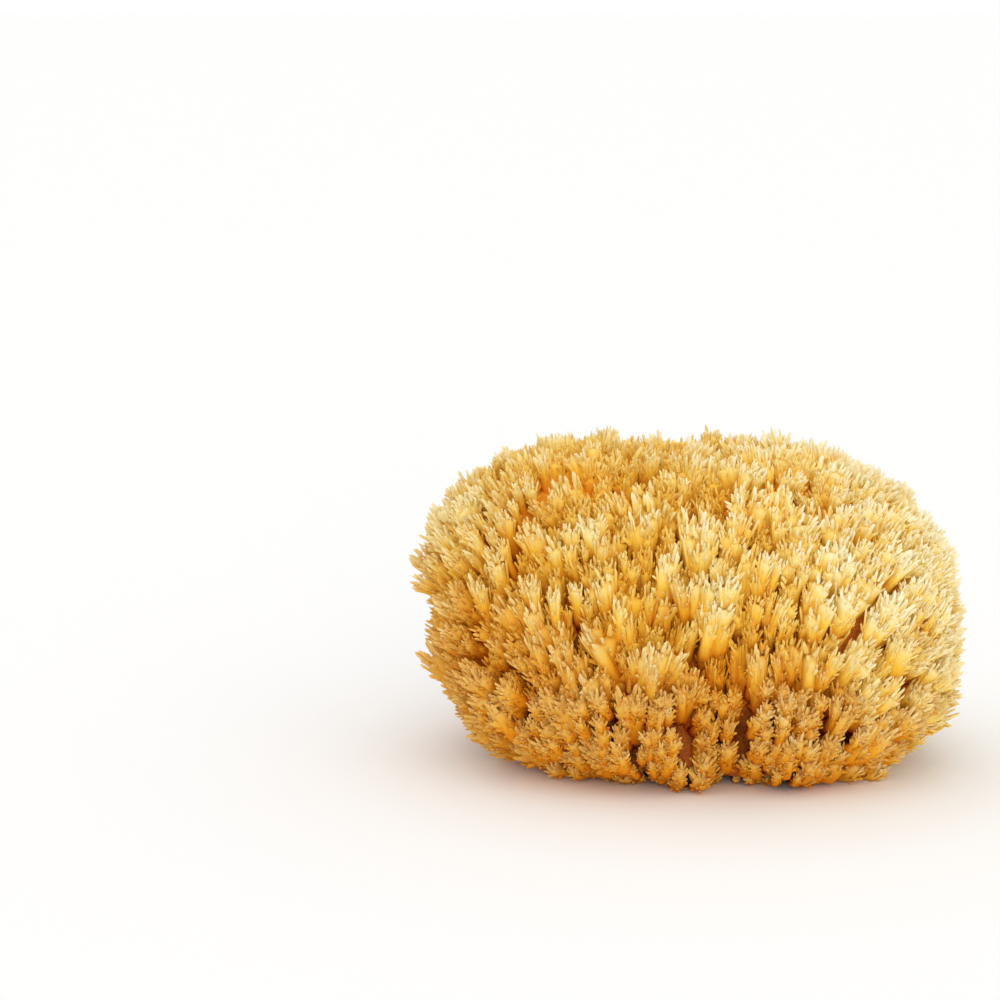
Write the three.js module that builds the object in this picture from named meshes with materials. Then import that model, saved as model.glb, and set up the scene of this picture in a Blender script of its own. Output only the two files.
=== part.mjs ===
// A dried sea sponge for the bath: one springy skeleton of fine fibres that grew as a single piece.
// Millimetres, +Z up. It stands on the flat cut where it was taken off its rock. The origin lies in that
// cut, under the middle of the sponge. The longest side runs along X, and the front faces -Y.
// The solid is the outer form that the tips of the fibre tufts reach, with the lobes that the tufts
// gather into and the furrows between them.

import * as THREE from "three";
import { mergeVertices } from "three/addons/utils/BufferGeometryUtils.js";

// Overall size, over the tuft tips.
const LENGTH = 155; // X
const DEPTH = 112; // Y
const HEIGHT = 92; // Z, from the cut base to the highest tips

// The round form under the lobes, measured from its middle.
const MIDDLE_HEIGHT = 45.5; // its widest section stands this far above the cut
const ROOT_REACH = 49; // how far it would reach below its middle if it weren't cut
const CROWN_REACH = HEIGHT - MIDDLE_HEIGHT;
const PLAN_SQUARENESS = 2.35; // 2 is an ellipse seen from above, more is squarer
const CROWN_SQUARENESS = { left: 3.3, right: 2.1 };
const FOOT_SQUARENESS = { left: 2.5, right: 3.5 };

// Lobes: clumps of tufts, taller than they are wide, with furrows where two clumps meet.
const LOBE_COUNT = 150;
const LOBE_JITTER = 0.07; // as a share of the form's radius
const LOBE_UPRIGHT = 0.65; // heights count this much when lobes share out the surface
const FURROW_DEPTH = 4.6;
const FURROW_WIDTH = 5.4;
const LOBE_UNEVENNESS = 2.4; // how much one lobe stands above or below the next

// One deeper fold runs down the front, as places on the front (x, z) from top to bottom.
const FOLD_PATH = [
  [-20, 88],
  [-18, 56],
  [4, 42],
  [8, 8],
];
const FOLD_DEPTH = 6;
const FOLD_WIDTH = 7;

const SURFACE_DETAIL = 20; // 20 * (detail + 1) ^ 2 triangles

const { lerp, clamp, seededRandom } = THREE.MathUtils;
const middle = new THREE.Vector3(0, 0, MIDDLE_HEIGHT);

// Radius of the round form in a direction from its middle: a superellipsoid whose corners are squarer at
// one end than at the other.
function roundRadius(direction) {
  const towardsRight = (direction.x + 1) / 2;
  const above = direction.z > 0;
  const corners = above ? CROWN_SQUARENESS : FOOT_SQUARENESS;
  const squareness = lerp(corners.left, corners.right, towardsRight);
  const plan =
    (Math.abs(direction.x / (LENGTH / 2)) ** PLAN_SQUARENESS +
      Math.abs(direction.y / (DEPTH / 2)) ** PLAN_SQUARENESS) **
    (1 / PLAN_SQUARENESS);
  const rise = Math.abs(direction.z) / (above ? CROWN_REACH : ROOT_REACH);
  return 1 / (plan ** squareness + rise ** squareness) ** (1 / squareness);
}

// A place on the round form, with heights shortened so that lobes share it out in upright patches.
function patchPlace(direction) {
  const place = direction.clone().multiplyScalar(roundRadius(direction));
  place.z *= LOBE_UPRIGHT;
  return place;
}

// Lobe middles on a golden-angle spiral, shaken out of its even rows.
function makeLobes() {
  seededRandom(17);
  const goldenAngle = Math.PI * (3 - Math.sqrt(5));
  const shake = () => (seededRandom() - 0.5) * 2 * LOBE_JITTER;
  const lobes = [];
  for (let i = 0; i < LOBE_COUNT; i += 1) {
    const z = 1 - (2 * (i + 0.5)) / LOBE_COUNT;
    const across = Math.sqrt(1 - z * z);
    const direction = new THREE.Vector3(
      across * Math.cos(i * goldenAngle) + shake(),
      across * Math.sin(i * goldenAngle) + shake(),
      z + shake(),
    ).normalize();
    const stand = (seededRandom() - 0.5) * LOBE_UNEVENNESS;
    lobes.push({ place: patchPlace(direction), stand });
  }
  return lobes;
}
const lobes = makeLobes();

// How far the surface stands off the round form because of its lobes: down in a furrow, where the two
// nearest lobes are equally near, and level on a lobe.
function lobeRelief(direction) {
  const place = patchPlace(direction);
  let nearest = { gap: Infinity, stand: 0 };
  let second = nearest;
  for (const lobe of lobes) {
    const gap = place.distanceTo(lobe.place);
    if (gap < nearest.gap) {
      second = nearest;
      nearest = { gap, stand: lobe.stand };
    } else if (gap < second.gap) {
      second = { gap, stand: lobe.stand };
    }
  }
  const onLobe = 1 - Math.exp(-(((second.gap - nearest.gap) / FURROW_WIDTH) ** 2));
  return nearest.stand * onLobe - FURROW_DEPTH * (1 - onLobe);
}

// The fold down the front, fading out towards the sides and the back.
function foldRelief(direction) {
  if (direction.y >= 0) return 0;
  const radius = roundRadius(direction);
  const place = new THREE.Vector2(direction.x, direction.z).multiplyScalar(radius);
  place.y += MIDDLE_HEIGHT;
  let gap = Infinity;
  for (let i = 1; i < FOLD_PATH.length; i += 1) {
    const start = new THREE.Vector2(...FOLD_PATH[i - 1]);
    const run = new THREE.Vector2(...FOLD_PATH[i]).sub(start);
    const along = clamp(place.clone().sub(start).dot(run) / run.lengthSq(), 0, 1);
    gap = Math.min(gap, place.distanceTo(start.addScaledVector(run, along)));
  }
  return -FOLD_DEPTH * Math.exp(-((gap / FOLD_WIDTH) ** 2)) * clamp(-2 * direction.y, 0, 1);
}

// A point of the surface: out along the direction, and no lower than the cut.
function surfacePoint(direction) {
  const relief = lobeRelief(direction) + foldRelief(direction);
  const grown = roundRadius(direction) + relief;
  const toCut = direction.z < 0 ? MIDDLE_HEIGHT / -direction.z : Infinity;
  const point = direction.clone().multiplyScalar(Math.min(grown, toCut)).add(middle);
  if (toCut <= grown) point.z = 0;
  return point;
}

// One closed surface: an evenly divided ball with every corner carried out to the sponge's surface,
// then fitted to the overall size with the cut left at z = 0.
function makeSpongeGeometry() {
  const ball = new THREE.IcosahedronGeometry(1, SURFACE_DETAIL);
  ball.deleteAttribute("normal");
  ball.deleteAttribute("uv");
  const geometry = mergeVertices(ball, 1e-5);
  const position = geometry.getAttribute("position");
  const direction = new THREE.Vector3();
  for (let i = 0; i < position.count; i += 1) {
    direction.fromBufferAttribute(position, i).normalize();
    position.setXYZ(i, ...surfacePoint(direction));
  }
  geometry.computeBoundingBox();
  const { min, max } = geometry.boundingBox;
  geometry.translate(-(min.x + max.x) / 2, -(min.y + max.y) / 2, 0);
  geometry.scale(LENGTH / (max.x - min.x), DEPTH / (max.y - min.y), HEIGHT / max.z);
  geometry.computeVertexNormals();
  return geometry;
}

const spongeFibre = new THREE.MeshStandardMaterial({
  name: "sponge_fibre",
  color: 0xe3b765,
  roughness: 0.85,
  metalness: 0,
});

const sponge = new THREE.Mesh(makeSpongeGeometry(), spongeFibre);
sponge.name = "sponge";

const part = new THREE.Group();
part.add(sponge);

export default part;
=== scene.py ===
import itertools
import math

import bpy
import numpy as np
from bpy.props import FloatProperty, FloatVectorProperty, IntProperty, PointerProperty
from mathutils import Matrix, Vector


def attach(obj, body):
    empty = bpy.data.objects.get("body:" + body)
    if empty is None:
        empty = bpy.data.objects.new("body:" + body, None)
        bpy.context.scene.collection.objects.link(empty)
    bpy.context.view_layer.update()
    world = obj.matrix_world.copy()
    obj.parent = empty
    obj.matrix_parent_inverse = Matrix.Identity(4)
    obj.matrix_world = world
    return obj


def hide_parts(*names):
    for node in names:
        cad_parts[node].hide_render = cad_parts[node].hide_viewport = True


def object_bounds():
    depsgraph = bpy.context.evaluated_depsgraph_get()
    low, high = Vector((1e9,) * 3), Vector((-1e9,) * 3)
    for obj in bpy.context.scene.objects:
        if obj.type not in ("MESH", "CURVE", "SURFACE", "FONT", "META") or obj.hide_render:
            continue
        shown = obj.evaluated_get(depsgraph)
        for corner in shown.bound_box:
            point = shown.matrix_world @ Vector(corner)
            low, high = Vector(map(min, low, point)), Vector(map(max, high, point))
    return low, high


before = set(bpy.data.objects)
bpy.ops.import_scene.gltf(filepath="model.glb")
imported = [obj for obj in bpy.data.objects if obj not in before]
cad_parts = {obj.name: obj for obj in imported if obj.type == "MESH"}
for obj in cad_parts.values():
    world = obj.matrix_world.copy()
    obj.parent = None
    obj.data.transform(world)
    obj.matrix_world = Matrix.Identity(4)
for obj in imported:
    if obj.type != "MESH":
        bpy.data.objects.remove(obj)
FORM_LOW, FORM_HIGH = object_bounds()
NODE = "sponge"

bl_info = {
    "name": "Bath Sponge",
    "version": (1, 0, 0),
    "blender": (4, 5, 0),
    "location": "View3D > Sidebar > Sponge",
    "description": "Builds a natural bath sponge with its fibre tufts, and a plain studio around it",
    "category": "Add Mesh",
}


# ---------------------------------------------------------------------------------------------------------
# Sizes and colours
# ---------------------------------------------------------------------------------------------------------


def length(name, description, default, low=0.0, high=0.2):
    """A size in metres for a settings group."""
    return FloatProperty(
        name=name, description=description, default=default, min=low, max=high,
        subtype="DISTANCE", unit="LENGTH"
    )


def share(name, description, default, low=0.0, high=4.0):
    """A plain number for a settings group."""
    return FloatProperty(name=name, description=description, default=default, min=low, max=high)


def colour(name, description, default):
    """A linear colour for a settings group."""
    return FloatVectorProperty(
        name=name, description=description, default=default, size=3, min=0.0, max=1.0, subtype="COLOR"
    )


class HeartSettings(bpy.types.PropertyGroup):
    """The dense middle that the tufts grow from."""

    depth: length("Depth", "How far the heart lies below the tips of the tufts", 0.0122)
    knobs: length("Knobs", "How far its knobs stand up between the tufts", 0.0022)
    pores: length("Pores", "How deep the canals go into the cut base", 0.003)


class TuftSettings(bpy.types.PropertyGroup):
    """The tufts of fibre."""

    count: IntProperty(name="Count", description="Tufts over the whole closed form", default=2400, min=10)
    clumps: IntProperty(name="Clumps", description="Groups that the tufts stand in", default=430, min=10)
    columns: IntProperty(
        name="Columns", description="Upright rows of knobbly tufts round the foot", default=76, min=3
    )
    length: length("Length", "From a tuft's foot, deep in the sponge, to its crest", 0.0225)
    width: length("Width", "Half the width of a tuft where it is widest", 0.0024)
    thickness: length("Thickness", "Half the thickness of a tuft", 0.00125)
    finger_radius: length("Finger radius", "Radius of one of the blunt fingers of a crest", 0.00037)
    barb: length("Barb", "Length of the short points on a tuft's sides", 0.0018)
    barb_radius: length("Barb radius", "Radius of a barb at its root", 0.00039)
    lean: share("Lean", "How much tufts on the sides turn upwards", 2.6)
    comb: share("Comb", "How much tufts turn away from the middle towards the two ends", 0.40)


class ColourSettings(bpy.types.PropertyGroup):
    """The fibre's colours, from the pale tips to the deep furrows. The foot and furrow colours are partly the
    fibre's own and partly painted shade deep between the tufts, and the hollow colour is painted shade.
    """

    tip: colour("Tip", "The fine pale ends", (0.97, 0.89, 0.64))
    crest: colour("Crest", "The top of a tuft", (0.97, 0.78, 0.30))
    side: colour("Side", "The golden sides of a tuft", (0.97, 0.64, 0.09))
    foot: colour("Foot", "Where tufts run together", (0.94, 0.46, 0.035))
    # Partly the fibre's own brown, partly painted shade where the tufts' feet lie deep in shadow.
    furrow_brown_and_shade: colour("Furrow", "The brown at the feet of the tufts", (0.86, 0.27, 0.03))
    # Painted shade: the heart's darkest brown stands for the shadow in the gaps between the tufts.
    hollow_shade: colour("Hollow", "The deepest brown, of the heart's hollows", (0.62, 0.17, 0.035))


class StudioSettings(bpy.types.PropertyGroup):
    """The camera, the floor and the lights."""

    lens: share("Lens", "Focal length in millimetres", 100.0, 10.0, 300.0)
    distance: length("Distance", "From the camera to the middle of the sponge", 0.77, 0.1, 5.0)
    elevation: FloatProperty(
        name="Elevation", description="Height of the camera above the horizon", default=math.radians(10.5),
        subtype="ANGLE", unit="ROTATION"
    )
    aside: length("Aside", "How far the sponge stands right of the view's middle", 0.0524, -0.5, 0.5)
    below: length("Below", "How far the sponge stands below the view's middle", 0.0257, -0.5, 0.5)
    floor: colour("Floor", "The plain pale floor", (0.97, 0.97, 0.97))


SETTINGS = {
    "sponge_heart": HeartSettings,
    "sponge_tufts": TuftSettings,
    "sponge_colours": ColourSettings,
    "sponge_studio": StudioSettings,
}


# ---------------------------------------------------------------------------------------------------------
# The outer form
# ---------------------------------------------------------------------------------------------------------


def unit(vectors):
    """Each vector divided by its length."""
    return vectors / np.maximum(np.linalg.norm(vectors, axis=-1, keepdims=True), 1e-12)


def dot(a, b):
    """Sum of the products of the parts of two arrays of vectors, kept as a last axis of one."""
    return (a * b).sum(-1, keepdims=True)


def smooth(value, low, high):
    """The smooth step 3 f^2 - 2 f^3, where f runs from 0 at low to 1 at high."""
    f = np.clip((value - low) / (high - low), 0.0, 1.0)
    return f * f * (3 - 2 * f)


LATTICE = 32    # cells of noise along each side, after which it repeats


def soft_noise(points, cell, seed):
    """Noise from -1 to 1: random numbers on a cubic lattice, blended between a point's eight nearest corners
    with the smooth step of its place between them."""
    lattice = np.random.default_rng(seed).random((LATTICE, LATTICE, LATTICE)) * 2 - 1
    low = np.floor(points / cell).astype(np.int64)
    f = points / cell - low
    f = f * f * (3 - 2 * f)
    total = np.zeros(points.shape[:-1])
    for corner in itertools.product((0, 1), repeat=3):
        x, y, z = np.moveaxis((low + corner) % LATTICE, -1, 0)
        total += lattice[x, y, z] * np.where(corner, f, 1 - f).prod(-1)
    return total


class OuterForm:
    """How far the sponge reaches from its middle in every direction, read from the frame's solid. The lobed
    table follows the solid closely, and the plain one is smoothed past its lobes and furrows."""

    ROWS, COLUMNS = 121, 240
    MIDDLE = 0.49                               # the middle's height, as a share of the sponge's
    LOBED_SPREAD, PLAIN_SPREAD = 0.045, 0.16    # how far apart directions are averaged, in radians

    def __init__(self, node):
        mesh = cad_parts[node].data
        corners = np.empty(len(mesh.vertices) * 3, np.float32)
        mesh.vertices.foreach_get("co", corners)
        corners = np.unique(corners.reshape(-1, 3).round(6), axis=0)
        self.middle = np.array([0.0, 0.0, FORM_LOW.z + self.MIDDLE * (FORM_HIGH.z - FORM_LOW.z)])
        out = corners - self.middle
        self.corner_reach = np.linalg.norm(out, axis=1).astype(np.float32)
        self.corner_directions = unit(out).astype(np.float32)
        self.lobed = self.table(self.LOBED_SPREAD)
        self.plain = self.table(self.PLAIN_SPREAD)

    def table(self, spread):
        """Reach on a grid of directions. It is the mean of the corners' reaches, where a corner counts
        e^((c - 1) / spread^2) and c is the cosine of its angle from the direction."""
        polar, turn = np.meshgrid(
            np.linspace(0, math.pi, self.ROWS), np.linspace(-math.pi, math.pi, self.COLUMNS + 1),
            indexing="ij"
        )
        grid = np.stack(
            [np.sin(polar) * np.cos(turn), np.sin(polar) * np.sin(turn), np.cos(polar)], -1
        ).astype(np.float32)
        reach = []
        for row in grid:
            weight = np.exp((row @ self.corner_directions.T - 1) / spread**2)
            reach.append(weight @ self.corner_reach / weight.sum(1))
        return np.array(reach)

    def reach(self, directions, table):
        """Reach in any directions: the four nearest entries of the table, blended by the place between."""
        row = np.arccos(np.clip(directions[..., 2], -1, 1)) / math.pi * (self.ROWS - 1)
        column = (np.arctan2(directions[..., 1], directions[..., 0]) / math.pi + 1) / 2 * self.COLUMNS
        r = np.clip(np.floor(row).astype(int), 0, self.ROWS - 2)
        c = np.clip(np.floor(column).astype(int), 0, self.COLUMNS - 1)
        fr, fc = row - r, column - c
        above = table[r, c] * (1 - fc) + table[r, c + 1] * fc
        under = table[r + 1, c] * (1 - fc) + table[r + 1, c + 1] * fc
        return above * (1 - fr) + under * fr

    def place(self, directions, table):
        """The surface's point in each direction: the middle plus the direction times its reach."""
        return self.middle + directions * self.reach(directions, table)[..., None]

    def normal(self, directions, table, step=0.05):
        """Outward normal: the cross product of two short walks over the surface, one along each of two
        directions at right angles to the view from the middle."""
        helper = np.where(np.abs(directions[..., 2:]) < 0.9, [[0.0, 0.0, 1.0]], [[1.0, 0.0, 0.0]])
        first = unit(np.cross(helper, directions))
        second = np.cross(directions, first)
        walks = [
            self.place(unit(directions + step * t), table) - self.place(unit(directions - step * t), table)
            for t in (first, second)
        ]
        return unit(np.cross(*walks))

    def depth(self, points, table):
        """How far each point lies inside the surface, measured towards the middle."""
        out = points - self.middle
        return self.reach(unit(out), table) - np.linalg.norm(out, axis=-1)


FORM = OuterForm(NODE)


# ---------------------------------------------------------------------------------------------------------
# Mesh making
# ---------------------------------------------------------------------------------------------------------


MARKS = "OFBake"    # the map that keeps a piece's marks


def mesh_object(name, points, faces, marks, material, rounded=None):
    """A mesh piece that rides with the sponge. Marks are two numbers a corner, kept as the piece's own map,
    which its material reads its colours from. Rounded says how many faces at the start of each set are
    shaded smooth, or all of them are."""
    mesh = bpy.data.meshes.new(name)
    mesh.vertices.add(len(points))
    mesh.vertices.foreach_set("co", np.ascontiguousarray(points, np.float32).ravel())
    corners = np.concatenate([f.ravel() for f in faces]).astype(np.int32)
    sides = np.concatenate([np.full(len(f), f.shape[1]) for f in faces])
    mesh.loops.add(len(corners))
    mesh.loops.foreach_set("vertex_index", corners)
    mesh.polygons.add(len(sides))
    mesh.polygons.foreach_set("loop_start", (np.cumsum(sides) - sides).astype(np.int32))
    mesh.update(calc_edges=True)
    rounded = rounded or [len(f) for f in faces]
    smoothed = np.concatenate([np.arange(len(f)) < n for f, n in zip(faces, rounded)])
    mesh.polygons.foreach_set("use_smooth", smoothed)
    layer = mesh.uv_layers.new(name=MARKS)
    layer.uv.foreach_set("vector", np.ascontiguousarray(marks[corners], np.float32).ravel())
    if mesh.validate(verbose=False):
        raise RuntimeError(f"{name} has faces that can't be used")
    piece = bpy.data.objects.new(name, mesh)
    bpy.context.scene.collection.objects.link(piece)
    mesh.materials.append(material)
    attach(piece, "root")
    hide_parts(NODE)
    return piece


def spindles(rings, foot, tip, ring_marks, foot_mark, tip_mark):
    """Many closed spindles at once. Rings is (spindles, rings, sides, 3), counter-clockwise seen from the
    tip, and each spindle closes in a fan at its foot and another at its tip. Returns its points, its quads
    and triangles, and its marks."""
    many, tall, sides = rings.shape[:3]
    points = np.concatenate([rings.reshape(-1, 3), foot, tip])
    marks = np.concatenate([ring_marks.reshape(-1, 2), foot_mark, tip_mark])
    start = np.arange(many)[:, None, None] * tall * sides
    level = np.arange(tall)[None, :, None] * sides
    side = np.arange(sides)[None, None, :]
    here, there = start + level + side, start + level + (side + 1) % sides
    quads = np.stack([here[:, :-1], there[:, :-1], there[:, 1:], here[:, 1:]], -1).reshape(-1, 4)
    low = np.broadcast_to(many * tall * sides + np.arange(many)[:, None], here[:, 0].shape)
    fans = np.concatenate([
        np.stack([there[:, 0], here[:, 0], low], -1).reshape(-1, 3),
        np.stack([here[:, -1], there[:, -1], low + many], -1).reshape(-1, 3),
    ])
    return points, quads, fans, marks


def joined(parts):
    """Several sets of spindles as one: their points on end, and their faces counted on from there."""
    points, quads, fans, marks = [], [], [], []
    count = 0
    for p, q, f, m in parts:
        points.append(p)
        quads.append(q + count)
        fans.append(f + count)
        marks.append(m)
        count += len(p)
    return np.concatenate(points), np.concatenate(quads), np.concatenate(fans), np.concatenate(marks)


# ---------------------------------------------------------------------------------------------------------
# Materials
# ---------------------------------------------------------------------------------------------------------


class Socket:
    """An output socket with Python's operators, so that shader maths reads as an expression."""

    def __init__(self, shader, socket):
        self.shader, self.socket = shader, socket

    def _with(self, operation, first, second):
        return self.shader.node("ShaderNodeMath", {"operation": operation}, {0: first, 1: second})

    def __add__(self, other):
        return self._with("ADD", self, other)

    def __sub__(self, other):
        return self._with("SUBTRACT", self, other)

    def __rsub__(self, other):
        return self._with("SUBTRACT", other, self)

    def __mul__(self, other):
        return self._with("MULTIPLY", self, other)

    __radd__, __rmul__ = __add__, __mul__


class Shader:
    """A material's node tree, filled one node at a time."""

    def __init__(self, name):
        self.material = bpy.data.materials.new(name)
        self.material.use_nodes = True
        self.tree = self.material.node_tree
        self.surface = self.tree.nodes["Principled BSDF"]

    def node(self, kind, settings=None, inputs=None, output=0):
        """Adds a node, sets it up, links or fills its inputs, and returns one of its outputs."""
        made = self.tree.nodes.new(kind)
        for name, value in (settings or {}).items():
            if name == "stops":
                ramp = made.color_ramp
                while len(ramp.elements) < len(value):
                    ramp.elements.new(1.0)
                for element, (place, tone) in zip(ramp.elements, value):
                    element.position, element.color = place, (*tone, 1.0)
            else:
                setattr(made, name, value)
        for name, value in (inputs or {}).items():
            self.feed(made.inputs[name], value)
        return Socket(self, made.outputs[output])

    def feed(self, target, value):
        """Links a socket to an input, or sets the input's own value."""
        if isinstance(value, Socket):
            self.tree.links.new(value.socket, target)
        else:
            target.default_value = value

    def mix(self, mode, factor, first, second):
        """A colour mix."""
        return self.node(
            "ShaderNodeMix", {"data_type": "RGBA", "blend_type": mode},
            {"Factor": factor, 6: first, 7: second}, output=2,
        )


def marks_of(shader):
    """The two numbers a piece keeps at its corners."""
    place = shader.node("ShaderNodeUVMap", {"uv_map": MARKS})
    first = shader.node("ShaderNodeSeparateXYZ", None, {0: place}, output=0)
    return first, Socket(shader, first.socket.node.outputs[1])


DRY_GLOSS = 0.03    # dry fibre hardly mirrors at all


def fibre_finish(shader, roughness):
    """What dry fibre has all over: hardly any gloss, and the given roughness."""
    surface = shader.surface.inputs
    surface["Specular IOR Level"].default_value = DRY_GLOSS
    shader.feed(surface["Roughness"], roughness)


def tuft_material(colours):
    """Fibre in tufts. The first mark runs from 0 in the furrows to 1 at the tips and picks the colour: the
    pale tips and golden sides are the fibre's own, and the browns low down are partly its own and partly
    painted shade, darker the deeper a point lies between the tufts. The second is a tuft's own tone plus
    painted light and shade, lighter on its ridges than in its grooves, and picks a tint that the colour is
    multiplied by.
    Tips are a little less rough than furrows."""
    shader = Shader("sponge_tuft_fibre")
    height, shade = marks_of(shader)
    # Painted shade, in part: the furrow and foot stops are picked where the first mark is low, deep between
    # the tufts.
    tone = shader.node(
        "ShaderNodeValToRGB",
        {"stops": [
            (0.0, colours.furrow_brown_and_shade), (0.28, colours.foot), (0.62, colours.side), (0.87, colours.crest),
            (1.0, colours.tip),
        ]},
        {0: height},
    )
    tint = shader.node(
        "ShaderNodeValToRGB",
        {"stops": [(0.0, (0.84, 0.57, 0.22)), (0.5, (0.95, 0.88, 0.64)), (1.0, (1.0, 1.0, 1.0))]},
        {0: shade},
    )
    shader.feed(shader.surface.inputs["Base Color"], shader.mix("MULTIPLY", 1.0, tone, tint))
    fibre_finish(shader, 0.82 - height * 0.22)
    return shader.material


def heart_material(colours):
    """The dense middle: brown where a fine noise is low and near the cut, and amber where it is high and
    further up. Its darkest browns are painted shade, for the shadow in the gaps between the tufts where it
    shows. The noise less twice a fine open web gives its bumps."""
    shader = Shader("sponge_heart_fibre")
    place = shader.node("ShaderNodeTexCoord", output=3)
    rise = shader.node("ShaderNodeSeparateXYZ", None, {0: place}, output=2)
    web = shader.node(
        "ShaderNodeTexVoronoi", {"feature": "DISTANCE_TO_EDGE"}, {"Vector": place, "Scale": 900.0}
    )
    grain = shader.node(
        "ShaderNodeTexNoise", None, {"Vector": place, "Scale": 260.0, "Detail": 3.0, "Roughness": 0.6}
    )
    level = grain * 0.7 + rise * 7.0 - 0.36
    # Painted shade: the hollow and furrow browns stand for the shadow where the heart shows between the
    # tufts.
    tone = shader.node(
        "ShaderNodeValToRGB",
        {"stops": [(0.0, colours.hollow_shade), (0.35, colours.furrow_brown_and_shade), (0.7, colours.foot), (1.0, colours.side)]},
        {0: level},
    )
    shader.feed(shader.surface.inputs["Base Color"], tone)
    bump = shader.node(
        "ShaderNodeBump", None, {"Strength": 0.8, "Distance": 0.0005, "Height": grain - web * 2.0}
    )
    shader.feed(shader.surface.inputs["Normal"], bump)
    fibre_finish(shader, 0.9 - grain * 0.2)
    return shader.material


# ---------------------------------------------------------------------------------------------------------
# The heart
# ---------------------------------------------------------------------------------------------------------


CUT_GIVE = 0.0012    # how softly what would pass below the cut is bent to lie on it


def pressed(points):
    """Heights over the cut bent so that nothing goes below it: z becomes half of z plus the root of
    z^2 + give^2."""
    z = points[..., 2] - FORM_LOW.z
    lifted = points.copy()
    lifted[..., 2] = FORM_LOW.z + (z + np.sqrt(z * z + CUT_GIVE * CUT_GIVE)) / 2
    return lifted


HEART_ROWS, HEART_COLUMNS = 100, 200
HEART_RIM = (0.0015, 0.0085)    # heights between which the heart draws back from the rim of the cut
FULLER_END = (0.02, 0.06)       # distances towards the right end over which the heart comes nearer the tips


def build_heart(settings, colours):
    """One closed surface over directions from the middle. It lies a set depth inside the outer form, less
    its knobs, which are two sizes of noise. The depth falls to a tenth at the rim of the cut, and by three
    tenths towards the right end. It ends on the flat cut, which is pitted by two sizes of round canals."""
    rows, columns = HEART_ROWS, HEART_COLUMNS
    polar = np.linspace(0, math.pi, rows + 2)[1:-1]
    turn = np.linspace(-math.pi, math.pi, columns, endpoint=False)
    p, t = np.meshgrid(polar, turn, indexing="ij")
    grid = np.stack([np.sin(p) * np.cos(t), np.sin(p) * np.sin(t), np.cos(p)], -1)
    poles = np.array([[0.0, 0.0, -1.0], [0.0, 0.0, 1.0]])
    directions = np.concatenate([grid.reshape(-1, 3), poles])

    surface = FORM.place(directions, FORM.lobed)
    knobs = 0.6 * soft_noise(surface, 0.0045, 3) + 0.4 * soft_noise(surface, 0.002, 4)
    level = surface[:, 2] - FORM_LOW.z
    set_back = settings.depth * (0.10 + 0.90 * smooth(level, *HEART_RIM))
    set_back *= 1 - 0.30 * smooth(surface[:, 0], *FULLER_END)
    stand_up = settings.knobs * knobs * smooth(level, 0.0, 0.01)
    reach = FORM.reach(directions, FORM.lobed) - set_back + stand_up

    down = np.maximum(-directions[:, 2], 1e-6)
    to_cut = (FORM.middle[2] - FORM_LOW.z) / down
    on_cut = to_cut < reach
    points = FORM.middle + directions * np.where(on_cut, to_cut, reach)[:, None]
    flat = points[on_cut]
    wide_canals = smooth(soft_noise(flat, 0.006, 7), 0.35, 0.65)
    fine_canals = smooth(soft_noise(flat, 0.0022, 8), 0.2, 0.6)
    flat[:, 2] = FORM_LOW.z + settings.pores * (wide_canals + 0.35 * fine_canals)
    points[on_cut] = flat

    here = (np.arange(rows)[:, None] * columns) + np.arange(columns)[None, :]
    there = np.roll(here, -1, 1)
    quads = np.stack([here[:-1], here[1:], there[1:], there[:-1]], -1).reshape(-1, 4)
    bottom, top = rows * columns, rows * columns + 1
    caps = np.concatenate([
        np.stack([there[-1], here[-1], np.full(columns, bottom)], -1),
        np.stack([here[0], there[0], np.full(columns, top)], -1),
    ])
    marks = np.concatenate([
        np.stack([(t / math.pi + 1) / 2, 1 - p / math.pi], -1).reshape(-1, 2), [[0.5, 0.0], [0.5, 1.0]]
    ])
    return mesh_object("sponge_heart", points, [quads, caps], marks, heart_material(colours))


# ---------------------------------------------------------------------------------------------------------
# The tufts
# ---------------------------------------------------------------------------------------------------------


UP, ALONG = np.array([[0.0, 0.0, 1.0]]), np.array([[1.0, 0.0, 0.0]])
MEAN_REACH = 0.061              # from the middle to the outer form, on average
DRAWS, ROUNDS = 60000, 24       # places drawn for scattering, and rounds of pushing them apart
UPRIGHT = 0.68                  # how much heights count for when places are pushed apart


def scattered(count, seed):
    """Directions of evenly spread places on the outer form. Places are drawn by area, then pushed apart:
    each moves away from the others within reach, more the nearer they are, and goes back to the form.
    Heights count for less, so that places stand further apart up and down than side by side."""
    rng = np.random.default_rng(seed)
    draw = unit(rng.normal(size=(DRAWS, 3)))
    normal = FORM.normal(draw, FORM.plain)
    area = FORM.reach(draw, FORM.plain) ** 2 / np.maximum(dot(normal, draw)[:, 0], 0.2)
    chosen = rng.choice(len(draw), count, replace=False, p=area / area.sum())
    directions = draw[chosen]
    squash = np.array([1.0, 1.0, UPRIGHT])
    gap = math.sqrt(4 * math.pi * MEAN_REACH**2 / count * UPRIGHT) * 1.22
    for _ in range(ROUNDS):
        places = FORM.place(directions, FORM.plain)
        apart = (places[:, None] - places[None]) * squash
        distance = np.linalg.norm(apart, axis=-1) + np.eye(count)
        push = np.clip(1 - distance / gap, 0, None) * (1 - np.eye(count))
        places = places + (apart / distance[..., None] * push[..., None]).sum(1) * gap * 0.35 / squash
        directions = unit(places - FORM.middle)
    return directions


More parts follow.
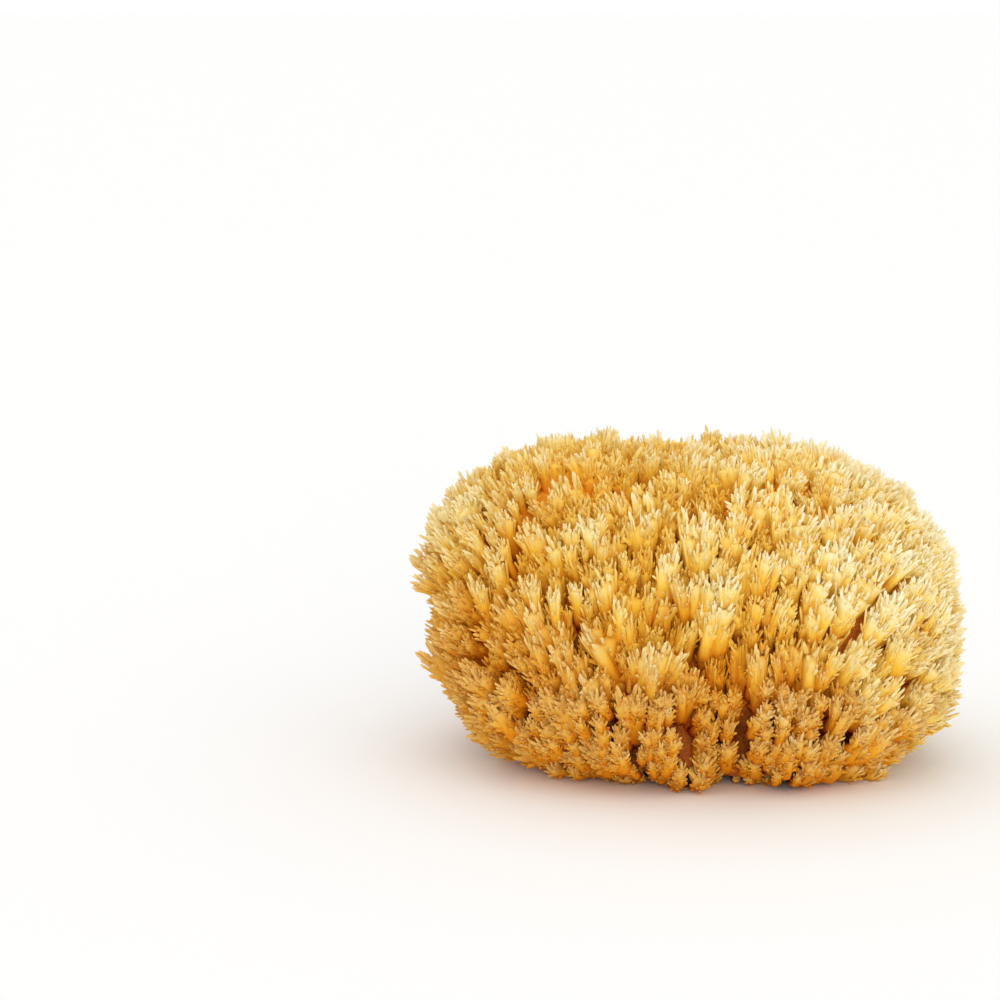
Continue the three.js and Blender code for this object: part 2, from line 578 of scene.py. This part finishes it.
def at_height(turn, z):
    """The form's point at each turn about the vertical and each height: the direction is aimed again and
    again at the height wanted, at the distance from the axis found so far."""
    flat = np.stack([np.cos(turn), np.sin(turn)], -1)
    away = np.full(turn.shape, 0.06)
    for _ in range(14):
        aim = np.concatenate([flat * away[..., None], (z - FORM.middle[2])[..., None]], -1)
        away = 0.5 * away + 0.5 * np.linalg.norm(FORM.place(unit(aim), FORM.lobed)[..., :2], axis=-1)
    return np.concatenate([flat * away[..., None], z[..., None]], -1)


FOOT_ROWS = 11                    # of knobbly tufts, one above the other
FOOT_HEIGHTS = (0.0030, 0.036)    # of the lowest and highest of them


def column_places(columns, rng):
    """Directions of the knobbly tufts round the foot: equal steps round an ellipse of the plan's shape, in
    rows one above the other, each column weaving a little from side to side and shaken by chance. The weave
    is noise that changes over 12 mm of height, read 3.7 cells apart, so that each column has its own."""
    fine = np.linspace(0, 2 * math.pi, 721)
    rim = np.stack([np.cos(fine) * FORM_HIGH.x, np.sin(fine) * FORM_HIGH.y], -1)
    walked = np.r_[0, np.cumsum(np.linalg.norm(np.diff(rim, axis=0), axis=1))]
    step = (np.arange(columns) + 0.22 * rng.normal(size=columns)) / columns
    around = np.interp(step % 1 * walked[-1], walked, np.arange(len(fine)))
    bearing = np.arctan2(*(np.interp(around, np.arange(len(fine)), rim[:, i]) for i in (1, 0)))
    z = np.linspace(*FOOT_HEIGHTS, FOOT_ROWS)[None, :] + 0.0011 * rng.normal(size=(columns, FOOT_ROWS))
    which = np.broadcast_to(np.arange(columns)[:, None] * 3.7, z.shape)
    weave = soft_noise(np.stack([which, z / 0.012, z * 0], -1), 1.0, 31)
    turn = bearing[:, None] + 0.03 * weave + 0.014 * rng.normal(size=z.shape)
    return unit(at_height(turn, z) - FORM.middle).reshape(-1, 3)


class Tufts:
    """Every tuft's place, direction, size and character, worked out together: first the scattered tufts of
    the crown and the sides, then the knobbly ones round the foot."""

    UPPER_EDGE, FOOT_EDGE = 0.024, 0.029    # where scattered tufts end and where the knobbly ones do
    INNER_SHARE = 0.40                      # how many scattered tufts stay lower than the rest
    DEEPEST = 0.0062                        # how far below the outer form a crest may lie
    BEND = 0.60                             # how much of a tuft's length is above its knee
    ROOT_DEPTH, ROOT_DROP = 0.0135, 0.005   # where a clump's shared root lies: inward, and down for each lean

    def __init__(self, settings):
        self.rng = np.random.default_rng(41)
        self.stand(settings)
        self.gather(settings.clumps)
        self.aim(settings)
        self.grow(settings)
        self.root(settings.length)
        self.tone_and_painted_light()

    def edge(self, outer, above):
        """A height that wavers by up to 1 cm round the sponge."""
        return FORM_LOW.z + above + 0.010 * soft_noise(outer, 0.018, 14)

    def stand(self, settings):
        """Where the tufts stand on the outer form. Height runs from 0 at the cut to 1 at the top, relief is
        how far the lobed form stands out of the plain one, and drift is three slow noises. The outward
        normal never points far down."""
        upper = scattered(settings.count, 5)
        outer = FORM.place(upper, FORM.lobed)
        upper = upper[outer[:, 2] > self.edge(outer, self.UPPER_EDGE)]
        low = column_places(settings.columns, self.rng)
        outer = FORM.place(low, FORM.lobed)
        low = low[outer[:, 2] < self.edge(outer, self.FOOT_EDGE)]
        self.directions = np.concatenate([upper, low])
        self.many = len(self.directions)
        self.knobbly = np.arange(self.many) >= len(upper)
        self.outer = FORM.place(self.directions, FORM.lobed)
        self.relief = FORM.reach(self.directions, FORM.lobed) - FORM.reach(self.directions, FORM.plain)
        normal = FORM.normal(self.directions, FORM.plain)
        normal[:, 2] = np.maximum(normal[:, 2], -0.15)
        self.normal = unit(normal)
        self.height = (self.outer[:, 2] - FORM_LOW.z) / (FORM_HIGH.z - FORM_LOW.z)
        self.drift = np.stack([soft_noise(self.outer, 0.015, seed) for seed in (11, 12, 13)], -1)

    def gather(self, clumps):
        """The clump of each scattered tuft, which is the one with the nearest centre. Apart is the way from
        that centre across the surface. A clump has six numbers drawn for it, and a knobbly tuft six of its
        own."""
        knobbly = self.knobbly[:, None]
        centres = scattered(clumps, 6)
        member = np.argmax(self.directions @ centres.T, axis=1)
        self.home = FORM.place(np.where(knobbly, self.directions, centres[member]), FORM.lobed)
        apart = self.outer - self.home
        self.apart = apart - self.normal * dot(apart, self.normal)
        shared = np.random.default_rng(9).normal(size=(clumps, 6))[member]
        own = 0.8 * self.rng.normal(size=(self.many, 6))
        self.clump = np.where(knobbly, own, shared).clip(-1.8, 1.8)
        self.inner = (self.rng.random(self.many) < self.INNER_SHARE) & ~self.knobbly

    def aim(self, settings):
        """Which way the tufts point. It is the outward normal, plus the lean upwards, plus the comb towards
        the nearer end, plus the clump's chance, plus 40 times apart in metres, plus the tuft's own chance.
        The lean fades towards the two ends and over the top, and is less at the foot."""
        side = np.abs(self.normal[:, :1])
        lean = settings.lean * (1 - 0.54 * smooth(side, 0.40, 0.95))
        lean = lean * (1 - 0.75 * smooth(self.normal[:, 2:], 0.3, 0.9))
        self.lean = lean * (1 - 0.20 * self.knobbly[:, None])
        comb = settings.comb * self.outer[:, :1] / FORM_HIGH.x
        point = self.normal + self.lean * UP + comb * ALONG + 0.30 * self.drift + 0.28 * self.clump[:, :3]
        self.point = unit(point + 40 * self.apart + 0.22 * self.rng.normal(size=(self.many, 3)))

    def grow(self, settings):
        """How big the tufts are and where their crests lie. Soft ones, up on the right, are fuller. Size is e
        to the power of a tuft's and its clump's chance. A crest sinks below the outer form by chance, by its
        clump's chance, by the square of its distance from the clump's centre, and more if it is an inner
        one. On the crown it may stand out a little instead."""
        rng, many, knobbly = self.rng, self.many, self.knobbly
        rise = 1.3 * self.outer[:, 0] / FORM_HIGH.x + self.height
        self.soft = smooth(rise + 0.3 * self.drift[:, 1], 0.85, 1.45)
        self.size = np.exp(0.20 * rng.normal(size=many).clip(-1.8, 1.8) + 0.14 * self.clump[:, 3])
        self.size *= 1 - 0.12 * knobbly
        fall = 0.0016 * (np.linalg.norm(self.apart, axis=1) / 0.0045) ** 2
        sink = 0.0012 * rng.random(many) + 0.0011 * (self.clump[:, 4] + 0.4) * ~knobbly + fall.clip(0, 0.003)
        sink += self.inner * (0.0018 + 0.0035 * rng.random(many))
        proud = 0.0018 * smooth(self.normal[:, 2], 0.0, 0.6)
        sink = (sink * (1 - 0.55 * self.soft)).clip(-proud, self.DEEPEST)
        self.tip = self.outer - 0.14 * self.apart - self.directions * (sink + 0.0002)[:, None]

    def root(self, length):
        """The bent middle line of each tuft: its tip, a knee below it against the way it points, and a foot
        inward of the knee, drawn by a third towards a root that the whole clump shares. Spiky runs from 1
        low down to 0 higher up, and spiky and knobbly tufts are shorter. Across is the wide way of a tuft's
        flat body, at right angles to apart, then turned by a slow noise and by chance."""
        rng, many, height = self.rng, self.many, self.height
        spiky = 1 - smooth(height + 0.05 * self.drift[:, 2], 0.30, 0.55)
        self.spiky = np.where(self.knobbly, 1.0, spiky)
        self.length = length * self.size * (1 + 0.10 * rng.normal(size=many).clip(-2, 2))
        self.length *= 1 - 0.15 * self.spiky - 0.33 * self.knobbly
        self.knee = self.tip - self.point * (self.BEND * self.length)[:, None]
        inward = unit(self.normal + 0.2 * UP)
        foot = self.knee - inward * ((1 - self.BEND) * self.length)[:, None]
        shared = self.home - self.normal * self.ROOT_DEPTH - UP * self.ROOT_DROP * self.lean
        self.foot = foot * 0.65 + shared * 0.35
        across = unit(np.cross(self.point, self.apart + 0.0008 * rng.normal(size=(many, 3))))
        turn = (0.7 * soft_noise(self.outer, 0.009, 21) + 0.5 * rng.normal(size=many))[:, None]
        self.across = unit(across * np.cos(turn) + np.cross(self.point, across) * np.sin(turn))

    def tone_and_painted_light(self):
        """Each tuft's second mark, its shade, from 0, dark, to 1, pale. Chances and slow noise give its own
        tone;
        the rest is painted light and shade: paler where the form stands out, towards the right, higher up,
        and where tufts are soft, but darker where they are spiky or inner ones, which lie low down or sunk
        between the others."""
        chance = self.rng.normal(size=self.many).clip(-2, 2)
        self.shade = 0.47 + 0.08 * chance + 0.06 * self.clump[:, 5] + 0.08 * self.drift[:, 2]
        # Painted light: paler where the form stands out, towards the right and where tufts are soft.
        self.shade += 14 * self.relief + 0.24 * self.outer[:, 0] / FORM_HIGH.x + 0.30 * self.soft
        # Painted light and shade: paler higher up, darker low down on spiky tufts and on inner ones sunk
        # among the others.
        self.shade += 0.60 * (self.height - 0.55) - 0.34 * self.spiky - 0.05 * self.inner


def spine(tufts, which, along):
    """Points and headings on each chosen tuft's middle line at the given shares of its length: the bent
    line (1 - t)^2 foot + 2 t (1 - t) knee + t^2 tip, and its slope."""
    foot, knee, tip = (a[which][:, None] for a in (tufts.foot, tufts.knee, tufts.tip))
    t = along[..., None]
    place = (1 - t) ** 2 * foot + 2 * t * (1 - t) * knee + t * t * tip
    heading = unit(2 * (1 - t) * (knee - foot) + 2 * t * (tip - knee))
    return place, heading


def sheaf(tufts, which, along, settings):
    """A tuft's middle line with its two ways across, each scaled to its half size there. It is thick at the
    root, where it runs together with its neighbours, then flattens, and opens out again at the crest. Its
    half width is 0.66 of the set width, and its half thickness 1.10 of the set thickness, plus what the root
    and the opening add, and each grows with its size. Soft tufts open more, and knobbly ones less."""
    place, heading = spine(tufts, which, along)
    across = tufts.across[which][:, None]
    across = unit(across - heading * dot(across, heading))
    other = np.cross(heading, across)
    soft, size = tufts.soft[which][:, None], tufts.size[which][:, None]
    knob = tufts.knobbly[which][:, None]
    opening, root = smooth(along, 0.30, 1.0), 1 - smooth(along, 0.15, 0.55)
    wide = 0.66 + (0.46 + 0.12 * soft - 0.38 * knob) * opening - 0.04 * knob + 0.35 * root
    thick = 1.10 + (0.20 * soft - 0.08) * opening + 0.15 * knob + 0.60 * root
    wide, thick = settings.width * size * wide, settings.thickness * size * thick
    return place, heading, across * wide[..., None], other * thick[..., None]


NEAR_DEPTH = 0.0120    # how far below the outer form the shadow between tufts is complete


def marks_for(points, along, shade):
    """The two marks of every point. Near is 1 at the outer form and 0 at the depth of full shadow. The first
    mark is 0.25 of near, plus 0.75 of the smooth step along the tuft times 0.40 and 0.60 of near. The second
    is the shade."""
    depth = FORM.depth(points, FORM.plain)
    near = np.clip(1.08 - depth / NEAR_DEPTH, 0.0, 1.0)
    # Painted shade: the first mark falls as near falls, so the colour browns the deeper a point lies between
    # the tufts.
    height = 0.25 * near + 0.75 * smooth(along, 0.30, 1.05) * (0.40 + 0.60 * near)
    shade = np.broadcast_to(shade, height.shape)
    return np.stack([np.clip(height, 0.005, 0.995), np.clip(shade, 0.01, 0.99)], -1)


CORE_SIDES = 9
CORE_STATIONS = np.array([0.0, 0.36, 0.66, 0.90])    # shares of a tuft's length where its body has a ring
CORE_TIP = 0.94                                      # and where it ends


def tuft_cores(tufts, which, settings, rng):
    """The fused body of each tuft: a ring of points carried along its bent middle line, wide times the cosine
    plus thick times the sine of an angle, each point shaken outward or inward by chance. It is closed by a
    low point within its crest."""
    many, tall = len(which), len(CORE_STATIONS)
    along = np.broadcast_to(CORE_STATIONS, (many, tall))
    place, _, wide, thick = sheaf(tufts, which, along, settings)
    angle = np.arange(CORE_SIDES) / CORE_SIDES * 2 * math.pi
    # Painted shade: alternate corners of each ring are marked lighter and darker, as ridges and grooves.
    painted_groove_shade = np.where(np.arange(CORE_SIDES) % 2 == 0, 1.0, -1.0)
    uneven = 1 + 0.16 * rng.normal(size=(many, tall, CORE_SIDES)).clip(-1.6, 1.6)[..., None]
    around = wide[:, :, None] * np.cos(angle)[:, None] + thick[:, :, None] * np.sin(angle)[:, None]
    rings = place[:, :, None] + around * uneven
    tip = spine(tufts, which, np.full((many, 1), CORE_TIP))[0][:, 0]
    rings, foot, tip = pressed(rings), pressed(tufts.foot[which]), pressed(tip)
    shade = tufts.shade[which]
    return spindles(
        rings, foot, tip,
        marks_for(rings, along[..., None], shade[:, None, None] + 0.05 * painted_groove_shade - 0.06),
        marks_for(foot, np.zeros(many), shade),
        marks_for(tip, np.full(many, CORE_TIP), shade),
    )


FIBRE_SHADES = np.array([0.04, -0.04, 0.0])    # how the sides of a fine fibre differ in shade


def fine_fibres(line, radius, along, shade, rng):
    """Thin closed fibres. Each follows a line of points to its last one, with a radius at every point but
    that, where it ends. Its sides are at the cosine and sine of an angle about its slope, which is turned by
    chance, and differ a little in shade."""
    slope = unit(np.gradient(line, axis=1))[:, :-1]
    first = unit(np.cross(slope, unit(rng.normal(size=(len(line), 1, 3)))))
    second = np.cross(slope, first)
    sides = len(FIBRE_SHADES)
    angle = (np.arange(sides) / sides * 2 * math.pi)[:, None]
    around = first[:, :, None] * np.cos(angle) + second[:, :, None] * np.sin(angle)
    rings = line[:, :-1, None] + radius[..., None, None] * around
    foot = line[:, 0] - slope[:, 0] * radius[:, :1] * 0.8
    rings, foot, tip = pressed(rings), pressed(foot), pressed(line[:, -1])
    return spindles(
        rings, foot, tip,
        marks_for(rings, along[:, :-1, None], shade[:, None, None] + FIBRE_SHADES),
        marks_for(foot, along[:, 0] - 0.02, shade),
        marks_for(tip, along[:, -1], shade + 0.02),
    )


FINGERS, RIM_FINGERS = 13, 9    # in a crest, and how many of those stand round its rim
WITHIN_TURN = 2.4               # from one finger to the next of those within, in radians


def crest_fingers(tufts, which, settings, rng):
    """The fibres of each tuft's crest. Most rise out of the body's sides, half sunk in it, to stand side by
    side like the fingers of a hand. The rest fill the crest within. They end bluntly, and the crest is
    highest in its middle or towards one side. Each one's line is the tuft's middle line, plus its share of
    the wide and thick ways across, plus a little parting and chance near its end."""
    who = np.repeat(which, FINGERS)
    many = len(who)
    index = np.tile(np.arange(FINGERS), len(which))
    within = index >= RIM_FINGERS
    turn = np.where(within, index * WITHIN_TURN, index * 2 * math.pi / RIM_FINGERS)
    turn = turn + 0.25 * rng.normal(size=many)
    rim = np.where(within, 0.25 + 0.35 * rng.random(many), 0.84 + 0.14 * rng.random(many))
    aslant = np.repeat(0.035 * rng.normal(size=len(which)), FINGERS)
    across = rim * np.cos(turn)
    reach = 1.0 + 0.028 * rng.normal(size=many).clip(-2, 2) - 0.08 * across**2 + aslant * across
    start = np.where(within, 0.82, 0.55 + 0.25 * rng.random(many))
    t = start[:, None] + (reach - start)[:, None] * np.array([0.0, 0.88, 1.0])
    place, _, wide, thick = sheaf(tufts, who, t, settings)
    out = wide * np.cos(turn)[:, None, None] + thick * np.sin(turn)[:, None, None]
    part = 0.0007 * smooth(t, 0.80, 1.0) * rim[:, None]
    shake = 0.00040 * rng.normal(size=(many, 1, 3)) * smooth(t, 0.80, 1.02)[..., None]
    share_out = rim[:, None] * np.array([0.86, 1.0, 1.0])
    line = place + out * share_out[..., None] + unit(out) * part[..., None] + shake
    radius = settings.finger_radius * (0.8 + 0.4 * rng.random(many)) * np.sqrt(tufts.size[who])
    radius = radius[:, None] * np.array([1.05, 0.88])
    shade = tufts.shade[who] + 0.07 * rng.normal(size=many) + 0.03
    return fine_fibres(line, radius, t, shade, rng)


GOLDEN_TURN = 2.39996    # in radians, so that barbs one after another never line up
# How many barbs a tuft has, the share of its length where they start and how far down they go, the power
# that crowds them towards the top, and their length: on a scattered tuft, and on a knobbly one of the foot.
TUFT_BARBS = {"each": 15, "top": 0.97, "span": 0.40, "crowding": 2.0, "stretch": 0.85}
KNOB_BARBS = {"each": 30, "top": 0.98, "span": 0.50, "crowding": 1.2, "stretch": 0.9}


def barbs(tufts, which, settings, rng, each, top, span, crowding, stretch):
    """Short blunt points that stand out of a tuft's body and turn up towards its crest. Each one's line is
    its start in the body's side, plus its length times s along the way out and 0.35 s^2 along the tuft."""
    who = np.repeat(which, each)
    many = len(who)
    index = np.tile(np.arange(each), len(which))
    size = tufts.size[who]
    t = top - span * ((index + rng.random(many)) / each) ** crowding
    centre, heading, wide, thick = (a[:, 0] for a in sheaf(tufts, who, t[:, None], settings))
    turn = (index * GOLDEN_TURN + 0.4 * rng.normal(size=many))[:, None]
    out = wide * np.cos(turn) + thick * np.sin(turn)
    inward = smooth(t, 0.82, 0.97)[:, None]
    start = centre + out * (0.95 - 0.35 * inward)
    way = unit(unit(out) * (0.95 - 0.60 * inward) + heading + 0.18 * rng.normal(size=(many, 3)))
    tall = (stretch * settings.barb * size * (0.6 + 0.8 * rng.random(many)))[:, None, None]
    s = np.array([0.0, 0.80, 1.0])[:, None]
    line = start[:, None] + tall * (s * way[:, None] + 0.35 * s * s * heading[:, None])
    radius = settings.barb_radius * (0.75 + 0.5 * rng.random(many)) * size
    radius = radius[:, None] * np.array([1.25, 0.85])
    shade = tufts.shade[who] + 0.06 * rng.normal(size=many) + 0.03
    return fine_fibres(line, radius, t[:, None] + 0.16 * s[:, 0], shade, rng)


# Each zone takes the tufts whose outward normal is nearest to its direction.
ZONES = {
    "crown_left": (-0.45, 0.0, 1.0),
    "crown_right": (0.45, 0.0, 1.0),
    "front_left": (-0.62, -0.85, 0.0),
    "front_right": (0.62, -0.85, 0.0),
    "back_left": (-0.62, 0.85, 0.0),
    "back_right": (0.62, 0.85, 0.0),
}


def build_tufts(zone, tufts, settings, material):
    """The tufts of one zone as one joined mesh: their bodies, shaded smooth, then the fingers of their crests
    and the barbs on their sides, shaded flat."""
    names = list(ZONES)
    aims = unit(np.array([ZONES[n] for n in names]))
    nearest = np.argmax(tufts.normal @ aims.T, axis=1)
    which = np.flatnonzero(nearest == names.index(zone))
    rng = np.random.default_rng(100 + names.index(zone))
    knobs, brushes = which[tufts.knobbly[which]], which[~tufts.knobbly[which]]
    cores = tuft_cores(tufts, which, settings, rng)
    points, quads, fans, marks = joined([
        cores,
        crest_fingers(tufts, brushes, settings, rng),
        barbs(tufts, brushes, settings, rng, **TUFT_BARBS),
        barbs(tufts, knobs, settings, rng, **KNOB_BARBS),
    ])
    rounded = [len(cores[1]), len(cores[2])]
    return mesh_object(f"tufts_{zone}", points, [quads, fans], marks, material, rounded)


# ---------------------------------------------------------------------------------------------------------
# The studio
# ---------------------------------------------------------------------------------------------------------


WARM = (1.0, 0.98, 0.95)
# Each light's direction, power, angle across in degrees, and colour.
SUNS = {
    "key": ((0.35, -1.0, 0.9), 0.54, 70.0, WARM),
    "top": ((-0.25, 0.1, 1.0), 0.46, 70.0, (1.0, 0.99, 0.97)),
    "fill": ((0.05, -1.0, 0.25), 0.52, 30.0, WARM),
}
SKY_LIGHT, SKY_SEEN = 0.75, 1.0    # how bright the white surroundings light the sponge, and look
FLOOR_REACH, FLOOR_GAP = 30.0, 0.0002


def soft_sun(name, towards, power, spread, tone):
    """An even soft light from far away."""
    data = bpy.data.lights.new(name, "SUN")
    data.energy, data.angle, data.color = power, math.radians(spread), tone
    lamp = bpy.data.objects.new(name, data)
    lamp.rotation_euler = Vector(towards).to_track_quat("Z", "Y").to_euler()
    bpy.context.scene.collection.objects.link(lamp)


def build_floor(tone):
    """A plain square just under the cut."""
    square = np.array([[-1, -1, 0], [1, -1, 0], [1, 1, 0], [-1, 1, 0]]) * FLOOR_REACH
    mesh = bpy.data.meshes.new("floor")
    mesh.from_pydata((square + [0, 0, FORM_LOW.z - FLOOR_GAP]).tolist(), [], [(0, 1, 2, 3)])
    floor = bpy.data.objects.new("floor", mesh)
    bpy.context.scene.collection.objects.link(floor)
    shader = Shader("pale_floor")
    shader.surface.inputs["Base Color"].default_value = (*tone, 1.0)
    shader.surface.inputs["Roughness"].default_value = 0.9
    mesh.materials.append(shader.material)


def build_surroundings():
    """An even white world, which is a little brighter to look at than it is as a light."""
    world = bpy.data.worlds.new("studio")
    world.use_nodes = True
    nodes, links = world.node_tree.nodes, world.node_tree.links
    nodes["Background"].inputs["Color"].default_value = (1.0, 1.0, 1.0, 1.0)
    ray = nodes.new("ShaderNodeLightPath")
    strength = nodes.new("ShaderNodeMapRange")
    strength.inputs["To Min"].default_value = SKY_LIGHT
    strength.inputs["To Max"].default_value = SKY_SEEN
    links.new(ray.outputs["Is Camera Ray"], strength.inputs["Value"])
    links.new(strength.outputs[0], nodes["Background"].inputs["Strength"])
    bpy.context.scene.world = world
    bpy.context.scene.view_settings.view_transform = "Standard"


def build_studio(settings):
    """The pale floor, the soft lights and the camera. The camera stands back from a target by its distance,
    at its elevation, and the target is the sponge's middle less what the sponge stands aside and below."""
    build_floor(settings.floor)
    build_surroundings()
    for name, light in SUNS.items():
        soft_sun(name, *light)

    tilt = settings.elevation
    back = Vector((0.0, -math.cos(tilt), math.sin(tilt)))
    right = Vector((1.0, 0.0, 0.0))
    up = Vector((0.0, math.sin(tilt), math.cos(tilt)))
    middle = Vector((0.0, 0.0, (FORM_LOW.z + FORM_HIGH.z) / 2))
    target = middle - right * settings.aside + up * settings.below
    camera_data = bpy.data.cameras.new("camera")
    camera_data.lens = settings.lens
    camera_data.sensor_width = 36.0
    camera_data.clip_start, camera_data.clip_end = 0.05, 20.0
    camera = bpy.data.objects.new("camera", camera_data)
    camera.location = target + back * settings.distance
    camera.rotation_euler = (-back).to_track_quat("-Z", "Y").to_euler()
    bpy.context.scene.collection.objects.link(camera)
    bpy.context.scene.camera = camera


# ---------------------------------------------------------------------------------------------------------
# Operators and panel
# ---------------------------------------------------------------------------------------------------------


class SPONGE_OT_heart(bpy.types.Operator):
    """Add the dense heart of the sponge, with its flat cut base"""

    bl_idname = "sponge.add_heart"
    bl_label = "Heart"

    def execute(self, context):
        build_heart(context.scene.sponge_heart, context.scene.sponge_colours)
        return {"FINISHED"}


class SPONGE_OT_tufts(bpy.types.Operator):
    """Add the fibre tufts, zone by zone"""

    bl_idname = "sponge.add_tufts"
    bl_label = "Tufts"

    def execute(self, context):
        settings = context.scene.sponge_tufts
        tufts = Tufts(settings)
        material = tuft_material(context.scene.sponge_colours)
        for zone in ZONES:
            build_tufts(zone, tufts, settings, material)
        return {"FINISHED"}


class SPONGE_OT_studio(bpy.types.Operator):
    """Add the floor, the lights and the camera"""

    bl_idname = "sponge.add_studio"
    bl_label = "Studio"

    def execute(self, context):
        build_studio(context.scene.sponge_studio)
        return {"FINISHED"}


# The panel's boxes, each with the operator that builds from its settings.
STEPS = {
    "sponge_colours": None,
    "sponge_heart": "sponge.add_heart",
    "sponge_tufts": "sponge.add_tufts",
    "sponge_studio": "sponge.add_studio",
}


class SPONGE_PT_panel(bpy.types.Panel):
    """Lists the steps that build the sponge"""

    bl_idname = "SPONGE_PT_panel"
    bl_label = "Bath Sponge"
    bl_space_type = "VIEW_3D"
    bl_region_type = "UI"
    bl_category = "Sponge"

    def draw(self, context):
        for name, operator in STEPS.items():
            box = self.layout.box()
            settings = getattr(context.scene, name)
            for prop in settings.__annotations__:
                box.prop(settings, prop)
            if operator:
                box.operator(operator)


CLASSES = (
    *SETTINGS.values(), SPONGE_OT_heart, SPONGE_OT_tufts, SPONGE_OT_studio, SPONGE_PT_panel,
)


def register():
    """Registers the classes and gives the scene its settings groups."""
    for made in CLASSES:
        bpy.utils.register_class(made)
    for name, group in SETTINGS.items():
        setattr(bpy.types.Scene, name, PointerProperty(type=group))


def unregister():
    """Undoes what register does."""
    for name in SETTINGS:
        delattr(bpy.types.Scene, name)
    for made in reversed(CLASSES):
        bpy.utils.unregister_class(made)


def main():
    """Builds the sponge and its studio."""
    register()
    bpy.ops.sponge.add_heart()
    bpy.ops.sponge.add_tufts()
    bpy.ops.sponge.add_studio()


if __name__ == "__main__":
    main()
